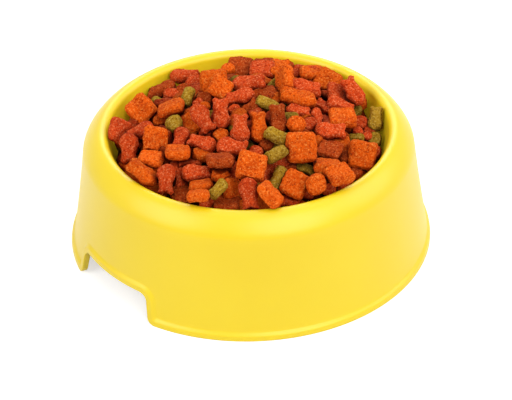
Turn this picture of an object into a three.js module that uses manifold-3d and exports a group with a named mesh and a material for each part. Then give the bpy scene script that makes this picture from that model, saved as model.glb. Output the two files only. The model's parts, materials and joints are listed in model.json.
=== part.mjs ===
// Pet feeding bowl heaped with dry kibble.
// Millimetres, +Z up. The origin lies on the table under the middle of the bowl,
// and the two finger notches face +X and -X.
import * as THREE from 'three';
import { mergeVertices } from 'three/addons/utils/BufferGeometryUtils.js';
import Module from 'manifold-3d';

const wasm = await Module();
wasm.setup();

// Bowl: one moulding, a flared skirt that rolls over the rim into a round basin
const BOWL_HEIGHT = 63.7;
const MOUTH_RADIUS = 69.6; // inner edge of the rim, where the basin wall starts
const MOUTH_DROP = 3.7; // that edge below the crest of the rim
const RIM_ROLL = 3.2; // from the mouth out to the crest
const SHOULDER_WIDTH = 9.9; // from the crest out to the skirt
const SHOULDER_DROP = 10.7; // top of the straight skirt below the crest
const SHOULDER_PULL = 3.6; // handle of the shoulder curve along the skirt
const RIM_PULL = 3.4; // handle of the shoulder curve along the crest
const SKIRT_FLARE = 7.8; // how far the skirt spreads down to the table
const SKIRT_BOW = 0.7; // how far the skirt is hollowed on the way
const WALL = 1.8;
const FLOOR_LIFT = 4; // underside of the basin above the table
const FLOOR_RADIUS = 54; // where the basin wall would meet the floor
const FLOOR_CORNER = 9; // length of the rounding between them

// Lip along the foot of the skirt and round both notches
const LIP_WIDTH = 1.2;
const LIP_HEIGHT = 3.6;
const LIP_ROUND = 0.5;

// Finger notches in the skirt
const NOTCH_WIDTH = 52; // just above the foot
const NOTCH_HEIGHT = 15.5;
const NOTCH_DRAFT = 1.2; // by which each side leans in on its way up
const NOTCH_CORNER = 5; // rounding under the notch's top edge
const NOTCH_FLARE = 4.5; // rounding where the notch runs out into the foot

// Heap: a bed for the buried food, and single kibbles lying on it
const BED_EDGE_DROP = 13.7; // edge of the bed below the crest of the rim
const BED_CROWN_RISE = 8.3; // middle of the bed above the crest
const COVER = 5; // middle of the loose kibbles above the bed
const FIT_GAP = 0.3; // bed to basin
const SEAT_GAP = 0.2; // kibble to what it lies on

// Kibbles: length and width across the face, thickness, and the chamfer of the edge
const SQUARE = { length: 13.6, width: 13.6, thickness: 5.2, power: 0.32, waist: 0 };
const DISC = { length: 9.6, width: 8.4, thickness: 6, power: 1, waist: 0 };
const BONE = { length: 11, width: 6.8, thickness: 5.4, power: 0.6, waist: 0.22 };
const FISH = {
  length: 15.6,
  width: 9.6,
  thickness: 5.6,
  body: 10.6, // length of the round body, from the head
  stem: 5.4, // pull of the narrow part between body and tail, across
  stemStart: 2.7, // and how far it is from the end of the tail
  tailWidth: 8.2,
  tailNotch: 1, // dip in the middle of the tail's end
  tip: 1.3, // blunting of the tail's two tips
};
const TAIL_JOIN = 130; // degrees round a fish's body, from the head to where the tail starts
const EDGE_INSET = 1.2; // face of a kibble inside its outline
const EDGE_DEPTH = 1.7; // depth of the chamfer between them

// Line of sight along which the kibbles' places are given
const EYE_TURN = -38.7; // degrees about +Z from looking along +Y
const EYE_RISE = 33.2; // degrees above the table
const EYE_ROLL = 1.5; // degrees, right side up
const EYE_DISTANCE = 1162; // to the middle of the mouth
const PLACE_STEPS = 140; // steps of a place in the mouth's radius

// Facets
const ROUND_STEPS = 64; // round the bowl
const BED_STEPS = 40; // round the bed
const KIBBLE_STEPS = 12; // round a kibble
const PUSH_STEP = 0.4; // by which a kibble is pulled clear of its neighbours
const SEAT_STEP = 0.1; // by which it is pushed home

const PLASTIC = { color: 0xf6dc46, roughness: 0.35, metalness: 0 };
const COLOURS = {
  orange: { color: 0xd9641e, roughness: 0.9, metalness: 0 },
  coral: { color: 0xcb5030, roughness: 0.9, metalness: 0 },
  brown: { color: 0xa5491f, roughness: 0.9, metalness: 0 },
  olive: { color: 0xa3812c, roughness: 0.9, metalness: 0 },
};

// Each kibble: kind, colour, size factor, then its place across and up from the middle of the
// mouth, in steps seen along the line of sight, then spin in its own plane, tip backwards and
// turn sideways, in degrees. Later ones lie on earlier ones.
const KIBBLES = [
  ['square', 'brown', 1.0, -8, 58, -5, 40, 0],
  ['square', 'orange', 1.05, -34, 43, 5, 15, 0],
  ['fish', 'coral', 1.0, -63, 50, 180, 65, 0],
  ['fish', 'brown', 1.0, -86, 36, 0, 62, -25],
  ['square', 'coral', 0.95, 14, 56, 0, 50, 0],
  ['square', 'orange', 1.0, 79, 45, -30, 30, 0],
  ['square', 'orange', 1.0, 36, 46, 0, 20, -66],
  ['disc', 'coral', 1.1, 51, 53, 10, 35, 0],
  ['fish', 'coral', 1.15, 0, 42, 180, 52, -12],
  ['bone', 'olive', 1.1, -61, 28, 75, 20, 0],
  ['fish', 'coral', 1.0, -9, 29, 0, 55, -20],
  ['fish', 'orange', 1.2, 50, 28, 0, 58, 18],
  ['fish', 'coral', 1.1, 56, 38, 180, 42, 14],
  ['square', 'coral', 1.0, 91, 30, 0, 42, 30],
  ['fish', 'coral', 1.0, 105, 35, -58, 15, 20],
  ['fish', 'coral', 1.0, 92, 20, 180, 50, 28],
  ['fish', 'olive', 0.85, 127, 7, -95, 10, 0],
  ['square', 'orange', 1.0, -77, 18, 0, 70, -20],
  ['square', 'orange', 1.0, -107, 17, 42, 8, 0],
  ['square', 'coral', 0.95, -128, -5, -10, 10, 42],
  ['disc', 'olive', 1.0, -74, 2, 70, 15, 0],
  ['fish', 'coral', 1.0, -108, -6, 0, 50, -32],
  ['square', 'orange', 1.0, -92, -14, -5, 10, 35],
  ['fish', 'coral', 1.0, -119, -22, 90, 10, 0],
  ['bone', 'olive', 1.1, 19, 22, -25, 20, 0],
  ['square', 'orange', 1.0, 94, 8, 5, 50, 0],
  ['fish', 'coral', 1.05, -28, 12, -92, 8, 0],
  ['fish', 'coral', 1.0, -46, 8, 121, 10, 0],
  ['fish', 'brown', 1.0, 30, 7, -85, 10, 0],
  ['disc', 'orange', 1.0, 48, 2, 0, 25, 0],
  ['fish', 'orange', 1.0, 10, -1, -88, 8, 0],
  ['fish', 'coral', 1.0, -8, -3, -90, 8, 0],
  ['fish', 'coral', 1.0, 82, -5, 180, 25, 0],
  ['bone', 'olive', 1.2, 29, -10, -25, 30, 0],
  ['fish', 'coral', 0.95, -46, -17, -20, 46, 0],
  ['square', 'brown', 0.9, 81, -24, -25, 52, -8],
  ['square', 'orange', 1.05, 114, -29, -8, 5, 0],
  ['square', 'orange', 1.1, 53, -21, 2, 5, 0],
  ['fish', 'coral', 1.0, -16, -21, 175, 20, 0],
  ['bone', 'olive', 1.1, 28, -28, 30, 15, 0],
  ['square', 'orange', 0.9, -70, -26, 0, 71, 0],
  ['square', 'orange', 0.9, -97, -33, -8, 60, 0],
  ['square', 'brown', 1.0, -28, -34, 8, 76, 0],
  ['square', 'orange', 1.05, 3, -40, -12, 12, 10],
  ['square', 'orange', 1.0, 79, -40, 0, 74, 2],
  ['fish', 'coral', 1.0, -51, -47, 180, 35, 3],
  ['square', 'orange', 0.95, 91, -48, 25, 52, 0],
  ['disc', 'orange', 0.9, -28, -49, 0, 55, 0],
  ['fish', 'orange', 1.1, -105, -47, -20, 62, 35],
  ['fish', 'coral', 0.95, -82, -53, 88, 5, 0],
  ['bone', 'olive', 1.2, 30, -53, 66, 5, 0],
  ['square', 'orange', 0.95, 47, -58, -28, 8, 0],
  ['disc', 'orange', 1.15, 68, -58, 75, 15, 25],
  ['square', 'orange', 0.85, -47, -60, 0, 76, -8],
  ['bone', 'olive', 1.0, -30, -63, 48, 10, 0],
  ['fish', 'coral', 1.05, 1, -68, 97, 0, 0],
  ['square', 'orange', 1.0, 22, -68, -18, 66, 45],
  ['square', 'orange', 0.8, -50, -69, 0, 76, -5],
];

const rimRadius = MOUTH_RADIUS + RIM_ROLL;
const shoulderRadius = rimRadius + SHOULDER_WIDTH;
const footRadius = shoulderRadius + SKIRT_FLARE;
const shoulderHeight = BOWL_HEIGHT - SHOULDER_DROP;
const mouthHeight = BOWL_HEIGHT - MOUTH_DROP;
const floorHeight = FLOOR_LIFT + WALL;

const degrees = THREE.MathUtils.degToRad;

// Helpers between three.js geometry and closed solids

function toSolid(geometry) {
  const bare = geometry.clone();
  bare.deleteAttribute('normal');
  bare.deleteAttribute('uv');
  const welded = mergeVertices(bare, 1e-4);
  const corners = welded.index.array;
  const triangles = [];
  for (let i = 0; i < corners.length; i += 3) {
    const [a, b, c] = [corners[i], corners[i + 1], corners[i + 2]];
    if (a !== b && b !== c && c !== a) triangles.push(a, b, c);
  }
  return new wasm.Manifold(new wasm.Mesh({
    numProp: 3,
    vertProperties: welded.attributes.position.array,
    triVerts: new Uint32Array(triangles),
  }));
}

function toGeometry(solid) {
  const mesh = solid.getMesh();
  const geometry = new THREE.BufferGeometry();
  geometry.setAttribute('position', new THREE.BufferAttribute(mesh.vertProperties, 3));
  geometry.setIndex(new THREE.BufferAttribute(mesh.triVerts, 1));
  geometry.computeVertexNormals();
  return geometry;
}

// A profile of radius and height, revolved about +Z
function revolve(points, steps) {
  return new THREE.LatheGeometry(points, steps).rotateX(Math.PI / 2);
}

// Bowl

// Basin surface from the middle of the floor out to the wall at the given height;
// a positive inset lies inside the basin, a negative one under its wall
function basinPoints(inset, height) {
  const corner = new THREE.Vector2(FLOOR_RADIUS - inset, floorHeight + inset);
  const mouth = new THREE.Vector2(MOUTH_RADIUS - inset, mouthHeight);
  const rise = mouth.clone().sub(corner).normalize();
  const wallStart = corner.clone().addScaledVector(rise, FLOOR_CORNER);
  const wallEnd = corner.clone().addScaledVector(rise, (height - corner.y) / rise.y);
  const path = new THREE.Path();
  path.moveTo(0, corner.y);
  path.lineTo(corner.x - FLOOR_CORNER, corner.y);
  path.quadraticCurveTo(corner.x, corner.y, wallStart.x, wallStart.y);
  path.lineTo(wallEnd.x, wallEnd.y);
  return path.getPoints(4);
}

// Outside of the skirt at a height
function skirtRadius(height) {
  const share = height / shoulderHeight;
  return footRadius - SKIRT_FLARE * share - 2 * SKIRT_BOW * share * (1 - share);
}

// Underside of the rim, from the basin wall over to the skirt and down to the table
function hollowPoints() {
  const top = BOWL_HEIGHT - WALL;
  const inner = shoulderRadius - WALL;
  const waist = (inner + footRadius - WALL) / 2 - SKIRT_BOW;
  const path = new THREE.Path();
  path.moveTo(MOUTH_RADIUS + WALL, mouthHeight);
  path.quadraticCurveTo(MOUTH_RADIUS + WALL, top, rimRadius, top);
  path.bezierCurveTo(
    rimRadius + RIM_PULL - WALL / 2, top,
    inner, shoulderHeight + SHOULDER_PULL - WALL / 2,
    inner, shoulderHeight,
  );
  path.quadraticCurveTo(waist, shoulderHeight / 2, footRadius - WALL, 0);
  return path.getPoints(4);
}

// Outside of the skirt from the table up, over the shoulder and the rolled rim
function outsidePoints() {
  const waist = (footRadius + shoulderRadius) / 2 - SKIRT_BOW;
  const slope = new THREE.Vector2(2 * SKIRT_BOW - SKIRT_FLARE, shoulderHeight).normalize();
  const skirt = new THREE.Path();
  skirt.moveTo(footRadius, 0);
  skirt.quadraticCurveTo(waist, shoulderHeight / 2, shoulderRadius, shoulderHeight);
  const shoulder = new THREE.Path();
  shoulder.moveTo(shoulderRadius, shoulderHeight);
  shoulder.bezierCurveTo(
    shoulderRadius + slope.x * SHOULDER_PULL, shoulderHeight + slope.y * SHOULDER_PULL,
    rimRadius + RIM_PULL, BOWL_HEIGHT,
    rimRadius, BOWL_HEIGHT,
  );
  const roll = new THREE.Path();
  roll.absellipse(rimRadius, mouthHeight, RIM_ROLL, MOUTH_DROP, Math.PI / 2, Math.PI, false);
  return [
    ...skirt.getPoints(5),
    ...shoulder.getPoints(6).slice(1),
    ...roll.getPoints(2).slice(1),
  ];
}

// Notch seen from outside, grown by the lip that runs round it
function notchOutline(grow) {
  const below = 5;
  const half = NOTCH_WIDTH / 2;
  const side = half + grow;
  const shoulder = side - NOTCH_DRAFT;
  const top = NOTCH_HEIGHT + grow;
  const foot = half + NOTCH_FLARE;
  const corner = NOTCH_CORNER + grow;
  const flare = NOTCH_FLARE - grow;
  const outline = new THREE.Shape();
  outline.moveTo(foot, -below);
  outline.lineTo(foot, grow);
  outline.absarc(foot, NOTCH_FLARE, flare, -Math.PI / 2, -Math.PI, true);
  outline.lineTo(shoulder, top - corner);
  outline.absarc(shoulder - corner, top - corner, corner, 0, Math.PI / 2, false);
  outline.lineTo(corner - shoulder, top);
  outline.absarc(corner - shoulder, top - corner, corner, Math.PI / 2, Math.PI, false);
  outline.lineTo(-side, NOTCH_FLARE);
  outline.absarc(-foot, NOTCH_FLARE, flare, 0, -Math.PI / 2, true);
  outline.lineTo(-foot, -below);
  return outline;
}

// Prism of that outline through one side of the skirt, clear of the basin
function notchPrism(grow, turn) {
  const inside = (MOUTH_RADIUS + WALL + skirtRadius(NOTCH_HEIGHT)) / 2;
  const outside = footRadius + 4 * LIP_WIDTH;
  const prism = new THREE.ExtrudeGeometry(notchOutline(grow), {
    depth: outside - inside,
    bevelEnabled: false,
    curveSegments: 3,
  });
  const axes = new THREE.Matrix4().makeBasis(
    new THREE.Vector3(0, 1, 0),
    new THREE.Vector3(0, 0, 1),
    new THREE.Vector3(1, 0, 0),
  );
  prism.applyMatrix4(axes).translate(inside, 0, 0).rotateZ(turn);
  return toSolid(prism);
}

// Ring of lip round the foot, with rounded outer edges
function footLip() {
  const inner = footRadius - WALL / 2;
  const outer = footRadius + LIP_WIDTH;
  const points = [
    new THREE.Vector2(inner, 0),
    new THREE.Vector2(outer - LIP_ROUND, 0),
    new THREE.Vector2(outer, LIP_ROUND),
    new THREE.Vector2(outer, LIP_HEIGHT - LIP_ROUND),
    new THREE.Vector2(outer - LIP_ROUND, LIP_HEIGHT),
    new THREE.Vector2(inner, LIP_HEIGHT),
    new THREE.Vector2(inner, 0),
  ];
  return toSolid(revolve(points, ROUND_STEPS));
}

// Band as thick as the lip all round the lower skirt, from which the notches' lips are cut
function lipBand() {
  const top = NOTCH_HEIGHT + 2 * LIP_HEIGHT;
  const points = [
    new THREE.Vector2(skirtRadius(0) - WALL / 2, 0),
    new THREE.Vector2(skirtRadius(0) + LIP_WIDTH, 0),
    new THREE.Vector2(skirtRadius(top) + LIP_WIDTH, top),
    new THREE.Vector2(skirtRadius(top) - WALL / 2, top),
    new THREE.Vector2(skirtRadius(0) - WALL / 2, 0),
  ];
  return toSolid(revolve(points, ROUND_STEPS));
}

function bowlSolid() {
  const profile = [
    ...basinPoints(-WALL, mouthHeight),
    ...hollowPoints().slice(1),
    ...outsidePoints(),
    ...basinPoints(0, mouthHeight).reverse().slice(1),
  ];
  const band = lipBand();
  let bowl = toSolid(revolve(profile, ROUND_STEPS)).add(footLip());
  for (const turn of [0, Math.PI]) {
    bowl = bowl.add(band.intersect(notchPrism(LIP_HEIGHT, turn)));
    bowl = bowl.subtract(notchPrism(0, turn));
  }
  return bowl;
}

// Heap

// Top of the buried food at a distance from the axis
const bedEdge = BOWL_HEIGHT - BED_EDGE_DROP;
const bedRise = BED_CROWN_RISE + BED_EDGE_DROP;
const bedSides = basinPoints(FIT_GAP, bedEdge);
const bedRadius = bedSides.at(-1).x;

function bedTop(radius) {
  const share = Math.min(radius / bedRadius, 1);
  return bedEdge + bedRise * (1 - share * share);
}

// Buried food: fills the basin and rises to a crown in the middle
function bedSolid() {
  const rings = 8;
  const top = [];
  for (let i = rings - 1; i >= 0; i -= 1) {
    const radius = (bedRadius * i) / rings;
    top.push(new THREE.Vector2(radius, bedTop(radius)));
  }
  return toSolid(revolve([...bedSides, ...top], BED_STEPS));
}

// Rounded outline between an ellipse and a rectangle, drawn in at the waist for a bone
function roundedOutline({ length, width, power, waist }) {
  const points = [];
  for (let i = 0; i < KIBBLE_STEPS; i += 1) {
    const angle = (2 * Math.PI * i) / KIBBLE_STEPS;
    const along = Math.sign(Math.cos(angle)) * Math.abs(Math.cos(angle)) ** power;
    const across = Math.sign(Math.sin(angle)) * Math.abs(Math.sin(angle)) ** power;
    const narrow = 1 - waist * (1 - along * along);
    points.push(new THREE.Vector2((length / 2) * along, (width / 2) * across * narrow));
  }
  return new THREE.Shape(points);
}

// Fish: a round body with its head towards +X and a short tail with blunt tips
function fishOutline({ length, width, body, stem, stemStart, tailWidth, tailNotch, tip }) {
  const bodyHalf = body / 2;
  const bodyMiddle = length / 2 - bodyHalf;
  const tailEnd = -length / 2;
  const stemX = tailEnd + stemStart;
  const join = degrees(TAIL_JOIN);
  const joinX = bodyMiddle + bodyHalf * Math.cos(join);
  const joinY = (width / 2) * Math.sin(join);
  const outline = new THREE.Shape();
  outline.moveTo(tailEnd + tailNotch, 0);
  outline.lineTo(tailEnd, tip - tailWidth / 2);
  outline.lineTo(tailEnd + tip, -tailWidth / 2);
  outline.quadraticCurveTo(stemX, -stem / 2, joinX, -joinY);
  outline.absellipse(bodyMiddle, 0, bodyHalf, width / 2, -join, join, false);
  outline.quadraticCurveTo(stemX, stem / 2, tailEnd + tip, tailWidth / 2);
  outline.lineTo(tailEnd, tailWidth / 2 - tip);
  outline.lineTo(tailEnd + tailNotch, 0);
  return outline;
}

const OUTLINES = {
  square: [SQUARE, roundedOutline(SQUARE)],
  disc: [DISC, roundedOutline(DISC)],
  bone: [BONE, roundedOutline(BONE)],
  fish: [FISH, fishOutline(FISH)],
};

// Kibble as it leaves the die: the outline extruded and puffed, centred on its middle
function kibbleGeometry(kind, size) {
  const [{ thickness }, outline] = OUTLINES[kind];
  const depth = thickness - 2 * EDGE_DEPTH;
  const puffed = new THREE.ExtrudeGeometry(outline, {
    depth,
    curveSegments: 4,
    bevelThickness: EDGE_DEPTH,
    bevelSize: EDGE_INSET,
    bevelOffset: -EDGE_INSET,
    bevelSegments: 1,
  });
  return puffed.translate(0, 0, -depth / 2).scale(size, size, size);
}

const sight = new THREE.Quaternion().setFromEuler(
  new THREE.Euler(degrees(90 - EYE_RISE), 0, -degrees(EYE_ROLL)),
);
const eye = new THREE.Vector3(0, 0, EYE_DISTANCE).applyQuaternion(sight);
eye.z += BOWL_HEIGHT;

// Direction from the eye through a place
function sightRay(across, up) {
  const step = MOUTH_RADIUS / PLACE_STEPS;
  const ray = new THREE.Vector3(across * step, up * step, -EYE_DISTANCE);
  return ray.applyQuaternion(sight).normalize();
}

// Distance from the eye at which a ray dips into the loose kibbles
function coverDistance(ray) {
  let distance = EYE_DISTANCE - 2 * footRadius;
  const point = new THREE.Vector3();
  do {
    distance += PUSH_STEP;
    point.copy(eye).addScaledVector(ray, distance);
  } while (point.z > bedTop(Math.hypot(point.x, point.y)) + COVER);
  return distance;
}

function apart(a, b) {
  return [0, 1, 2].some((axis) => a.max[axis] < b.min[axis] || b.max[axis] < a.min[axis]);
}

function clearOf(solid, obstacles) {
  const box = solid.boundingBox();
  return obstacles.every((other) => {
    if (apart(box, other.box)) return true;
    const shared = solid.intersect(other.solid);
    const clear = shared.isEmpty();
    shared.delete();
    return clear;
  });
}

// Distance along the ray at which the solid lies on what is behind and below it
function seatDistance(solid, ray, obstacles) {
  const isClear = (distance) => {
    const spot = eye.clone().addScaledVector(ray, distance);
    const moved = solid.translate(spot.x, spot.y, spot.z);
    const clear = clearOf(moved, obstacles);
    moved.delete();
    return clear;
  };
  let distance = coverDistance(ray);
  while (!isClear(distance)) distance -= PUSH_STEP;
  while (isClear(distance + SEAT_STEP)) distance += SEAT_STEP;
  return distance;
}

// Shape larger all round by a gap
function grown(geometry, gap) {
  geometry.computeBoundingBox();
  const span = geometry.boundingBox.getSize(new THREE.Vector3());
  const [x, y, z] = span.toArray().map((extent) => 1 + (2 * gap) / extent);
  return geometry.clone().scale(x, y, z);
}

// Lay every kibble in turn on the bed and its neighbours, on its own line of sight
function fillHeap(heap, bowl, bed) {
  const turnedBowl = bowl.rotate(0, 0, -EYE_TURN);
  const obstacles = [turnedBowl, bed].map((solid) => ({ solid, box: solid.boundingBox() }));
  const counts = {};
  for (const [kind, colour, size, across, up, spin, tip, turn] of KIBBLES) {
    const geometry = kibbleGeometry(kind, size);
    const pose = new THREE.Euler(-degrees(tip), degrees(turn), degrees(spin));
    const mesh = new THREE.Mesh(geometry, new THREE.MeshStandardMaterial(COLOURS[colour]));
    mesh.quaternion.copy(sight).multiply(new THREE.Quaternion().setFromEuler(pose));
    const solid = toSolid(geometry.clone().applyQuaternion(mesh.quaternion));
    const spaced = toSolid(grown(geometry, SEAT_GAP).applyQuaternion(mesh.quaternion));
    const ray = sightRay(across, up);
    mesh.position.copy(eye).addScaledVector(ray, seatDistance(spaced, ray, obstacles));
    counts[kind] = (counts[kind] ?? 0) + 1;
    mesh.name = `${kind}_kibble_${String(counts[kind]).padStart(2, '0')}`;
    heap.add(mesh);
    const seated = solid.translate(...mesh.position.toArray());
    obstacles.push({ solid: seated, box: seated.boundingBox() });
  }
}

const bowl = bowlSolid();
const bed = bedSolid();

const bowlMesh = new THREE.Mesh(toGeometry(bowl), new THREE.MeshStandardMaterial(PLASTIC));
bowlMesh.name = 'bowl';

const bedMesh = new THREE.Mesh(toGeometry(bed), new THREE.MeshStandardMaterial(COLOURS.brown));
bedMesh.name = 'kibble_bed';

const heap = new THREE.Group();
heap.rotation.z = degrees(EYE_TURN);
heap.add(bedMesh);
fillHeap(heap, bowl, bed);

const part = new THREE.Group();
part.add(bowlMesh, heap);

export default part;
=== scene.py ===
"""Looks of a yellow feeding bowl heaped with dry kibble.

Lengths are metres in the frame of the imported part: +Z up, the origin on the table
under the middle of the bowl, the two finger notches towards +X and -X.
"""

import json
import math

import bmesh
import bpy
import numpy as np
from mathutils import Matrix, Vector

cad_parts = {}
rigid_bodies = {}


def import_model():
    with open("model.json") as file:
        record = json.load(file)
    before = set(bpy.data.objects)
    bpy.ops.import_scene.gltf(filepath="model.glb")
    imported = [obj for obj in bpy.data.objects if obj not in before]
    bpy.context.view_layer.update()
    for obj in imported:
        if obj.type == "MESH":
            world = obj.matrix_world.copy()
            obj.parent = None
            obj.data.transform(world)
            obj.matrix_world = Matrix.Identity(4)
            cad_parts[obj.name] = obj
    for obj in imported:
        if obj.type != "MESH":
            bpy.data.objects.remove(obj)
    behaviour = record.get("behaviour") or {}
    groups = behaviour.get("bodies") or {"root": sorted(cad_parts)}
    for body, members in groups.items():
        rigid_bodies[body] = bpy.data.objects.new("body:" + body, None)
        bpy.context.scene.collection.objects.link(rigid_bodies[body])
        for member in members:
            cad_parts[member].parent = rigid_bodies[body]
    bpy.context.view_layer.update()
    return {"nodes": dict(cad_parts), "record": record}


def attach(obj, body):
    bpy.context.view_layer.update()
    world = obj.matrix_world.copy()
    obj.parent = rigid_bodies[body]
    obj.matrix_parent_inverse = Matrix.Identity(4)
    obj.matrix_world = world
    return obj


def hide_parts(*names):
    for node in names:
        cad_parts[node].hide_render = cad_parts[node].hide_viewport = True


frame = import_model()

MM = 0.001
BODY = "root"

# Picture
PICTURE_WIDTH = 512  # pixels
PICTURE_CENTRE = (256, 200)
BOWL_SPOT = (249.6, 179.2)  # pixel at which the middle of the bowl is seen
FOCAL_PIXELS = 2341
SENSOR_WIDTH = 36  # millimetres, as Blender counts them
EYE_TURN = math.radians(-38.7)
EYE_RISE = math.radians(34.5)
EYE_ROLL = math.radians(1.5)
EYE_DISTANCE = 1180 * MM

# Bowl
BOWL_HEIGHT = 63.7 * MM
MOUTH_RADIUS = 69.6 * MM
MOUTH_DROP = 3.7 * MM
RIM_ROLL = 3.2 * MM
SHOULDER_WIDTH = 9.9 * MM
SHOULDER_DROP = 10.7 * MM
SHOULDER_PULL = 3.6 * MM
RIM_PULL = 3.4 * MM
SKIRT_FLARE = 7.8 * MM
SKIRT_BOW = 0.7 * MM
WALL = 1.8 * MM
FLOOR_LIFT = 4 * MM
FLOOR_RADIUS = 54 * MM
FLOOR_CORNER = 9 * MM

# Lip along the foot and round the finger notches
LIP_WIDTH = 1.2 * MM
LIP_HEIGHT = 3.6 * MM
LIP_ROUND = 0.7 * MM
LIP_BLEND = 2.2 * MM  # over which the lip runs out into the skirt
NOTCH_WIDTH = 52 * MM
NOTCH_HEIGHT = 15.5 * MM
NOTCH_DRAFT = 1.2 * MM
NOTCH_CORNER = 5 * MM
NOTCH_FLARE = 4.5 * MM
NOTCH_REACH = 27 * MM  # height below which the skirt's mesh follows the notches
LIP_MARKS = (0, 0.02, 0.07, 0.15, 0.27, 0.42, 0.7, 1.2, 1.7, 2.1, 2.4)  # rows over the edge, mm
LIP_MARK_STEP = 0.3  # mm between the rows above those
LIP_MARK_COUNT = 8
INSIDE_MARKS = (1, 0.8, 0.6, 0.4, 0.25, 0.12, 0.04, 0)  # rows inside the skirt, shares of its reach
CREASE = math.radians(50)  # edges sharper than this stay sharp

# Heap
BED_EDGE_DROP = 13.7 * MM
BED_CROWN_RISE = 8.3 * MM
BED_RADIUS = 66.6 * MM
BED_MARGIN = 4 * MM  # left free of buried kibbles along the wall
CORE_SINK = 3.5 * MM  # depth of the dark core, a sheet of painted shade below the CAD bed

# Kibbles
KIBBLE_SIZES = {  # length, width, thickness
    "square": (13.6 * MM, 13.6 * MM, 5.2 * MM),
    "disc": (9.6 * MM, 8.4 * MM, 6 * MM),
    "bone": (11 * MM, 6.8 * MM, 5.4 * MM),
    "fish": (15.6 * MM, 9.6 * MM, 5.6 * MM),
}
CRUMB_VOXEL = 0.42 * MM
BURIED_VOXEL = 0.9 * MM
LUMP_SIZE = 4.5 * MM
LUMP_DEPTH = 1.1 * MM
CRUMB_SIZE = 1.1 * MM
CRUMB_DEPTH = 0.6 * MM
PLACE_STEP = 0.5 * MM  # about one pixel of the picture at the bowl
PLACE_REACH = 67 * MM  # farthest from the axis at which a loose kibble ends
SETTLE_STEP = 0.2 * MM

# Lightness of single kibbles, 0.5 for the colour as written
TOP_TONES = (0.39, 0.63)
LOOSE_TONES = (0.31, 0.57)
# painted shade: the buried kibbles are darker for lying deep in the heap
BURIED_SHADE_TONES = (0.05, 0.25)
# painted shade: the core under the buried kibbles is darker still
CORE_SHADE_TONE = -0.3

# Buried kibbles
BURIED_COPIES = {"square": 4, "fish": 4, "disc": 3, "bone": 1}
BURIED_SIZES = (0.8, 1.0)
BURIED_DENSITY = 40000  # most to the square metre, before they are spaced
SHARES = {"orange": (0.0, 0.40), "coral": (0.40, 0.76), "brown": (0.76, 0.92), "olive": (0.92, 1.0)}
LAYERS = (  # depth under the bed, spacing, clearance, tilt in degrees, seed
    (-2.0 * MM, 6.5 * MM, 3.4 * MM, 30, 5),
    (1.5 * MM, 7.0 * MM, 1.5 * MM, 35, 11),
)

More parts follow.
